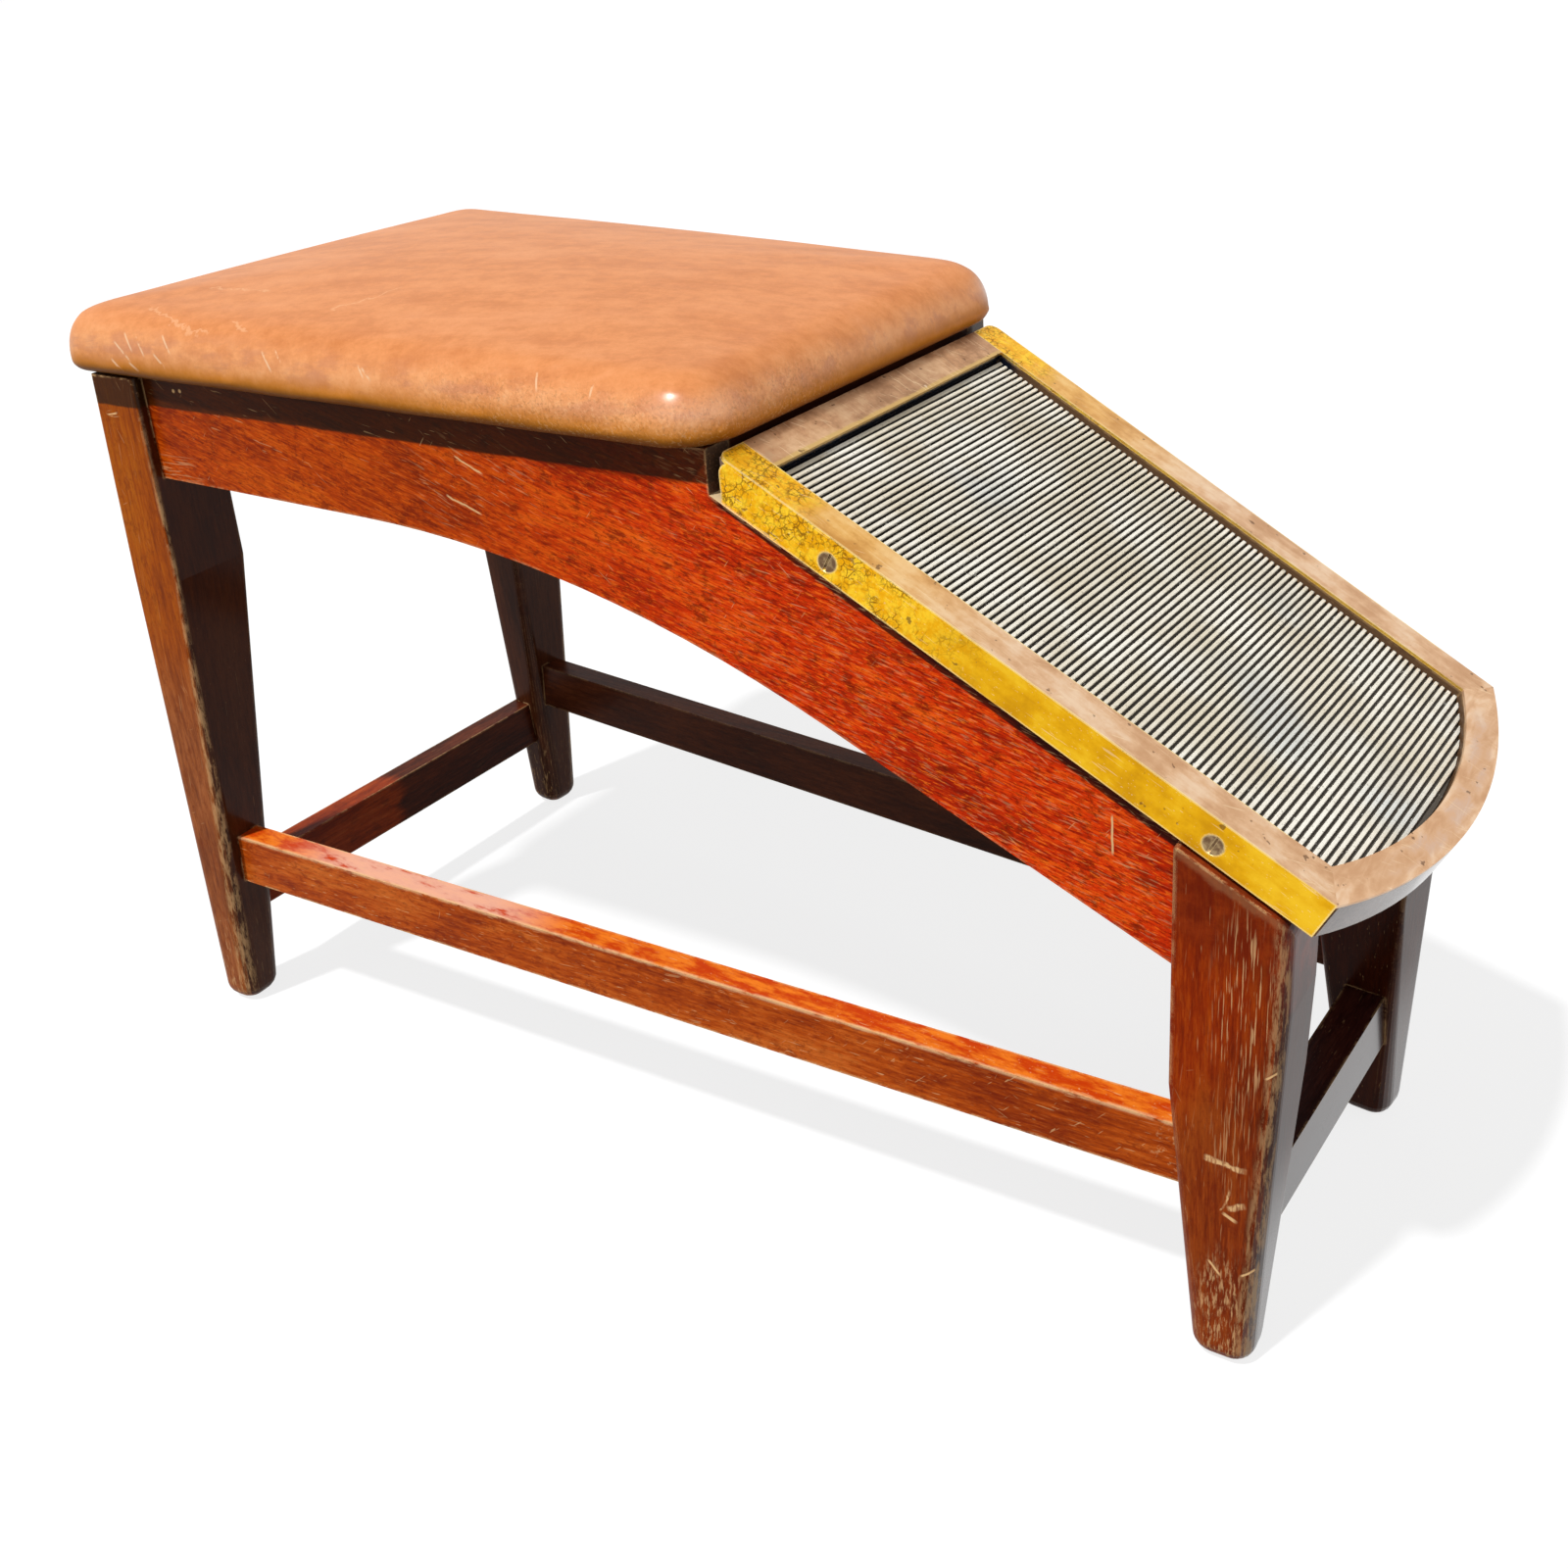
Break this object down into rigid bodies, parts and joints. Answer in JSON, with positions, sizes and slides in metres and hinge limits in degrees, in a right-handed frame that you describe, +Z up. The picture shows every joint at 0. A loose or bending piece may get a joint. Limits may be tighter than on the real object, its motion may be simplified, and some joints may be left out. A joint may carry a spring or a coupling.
{
  "type": "shoe fitting stool",
  "caption": "low stool for fitting shoes: padded leather seat on a dark wooden frame, with a sloping ribbed foot ramp edged in brass at the front",
  "frame": {"origin": "on the floor, under the middle of the stool's bounding box", "axes": "+X from the seat towards the low front end of the ramp, +Y to the left of someone who sits facing the ramp, +Z up"},
  "size_m": [0.6678, 0.2882, 0.4165],
  "materials": {
    "leg_brown": "worn satin varnish",
    "leg_red_brown": "worn satin varnish",
    "rail_red": "satin varnish, red mahogany colour",
    "stretcher_brown": "worn satin varnish",
    "board_plain": "bare",
    "padding": "matte",
    "leather": "smooth, lightly creased",
    "cleat_plain": "bare",
    "steel_screw": "dull",
    "ramp_wood": "satin varnish",
    "ribbed_rubber": "matte, cream ribs over a dark base",
    "brass": "aged and scratched",
    "brass_screw": "tarnished"
  },
  "bodies": {
    "root": {"rear_leg_right": "leg_brown", "rear_leg_left": "leg_brown", "front_leg_right": "leg_red_brown", "front_leg_left": "leg_red_brown", "side_rail_right": "rail_red", "side_rail_left": "rail_red", "rear_rail": "rail_red", "cross_rail": "rail_red", "side_stretcher_right": "stretcher_brown", "side_stretcher_left": "stretcher_brown", "rear_stretcher": "stretcher_brown", "front_stretcher": "stretcher_brown", "seat_board": "board_plain", "seat_padding": "padding", "seat_cover": "leather", "seat_cleat_right": "cleat_plain", "seat_cleat_left": "cleat_plain", "seat_screws": "steel_screw", "ramp_board": "ramp_wood", "ramp_cleat_right": "cleat_plain", "ramp_cleat_left": "cleat_plain", "ramp_screws": "steel_screw", "glue_blocks": "cleat_plain", "rubber_mat": "ribbed_rubber", "brass_angle_right": "brass", "brass_angle_left": "brass", "brass_top_bar": "brass", "brass_bow_plate": "brass", "angle_screws": "brass_screw"}
  },
  "joints": []
}
